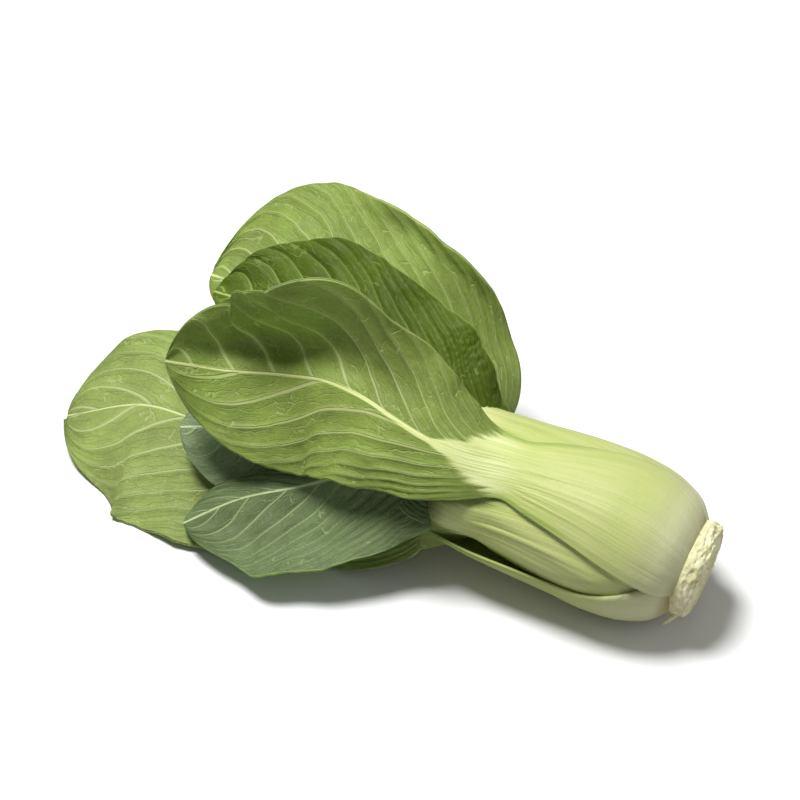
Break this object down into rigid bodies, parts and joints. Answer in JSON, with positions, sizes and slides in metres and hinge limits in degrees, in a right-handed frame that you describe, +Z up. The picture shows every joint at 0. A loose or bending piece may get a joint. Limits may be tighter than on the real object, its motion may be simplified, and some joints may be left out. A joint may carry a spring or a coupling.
{
  "type": "bok choy",
  "caption": "Bok choy lying on its side: pale petioles packed round a cut base into a bulb, opening into a fan of broad waved leaf blades.",
  "frame": {"origin": "on the ground under the middle of the bounding box", "axes": "+Z up; the bunch lies along X with its cut base towards +X and its leaves towards -X; its pictured side faces -Y"},
  "size_m": [0.2376, 0.1278, 0.0971],
  "materials": {
    "stub": "dry cut root base, cream with brown pits",
    "pale_leaf": "satin, ivory-green petiole and pale green underside of the blade",
    "dark_leaf": "semi-gloss, dark green upper side of the blade",
    "heart": "satin, pale yellow-green"
  },
  "bodies": {
    "root": {"stem_base": "stub", "leaf_front": "pale_leaf", "leaf_bottom": "pale_leaf", "leaf_top": "pale_leaf", "leaf_back": "pale_leaf", "leaf_left": "pale_leaf", "leaf_back_low": "pale_leaf", "leaf_inner": "dark_leaf", "leaf_lower_dark": "dark_leaf", "leaf_upper_dark": "dark_leaf", "heart_leaf": "heart"}
  },
  "joints": []
}
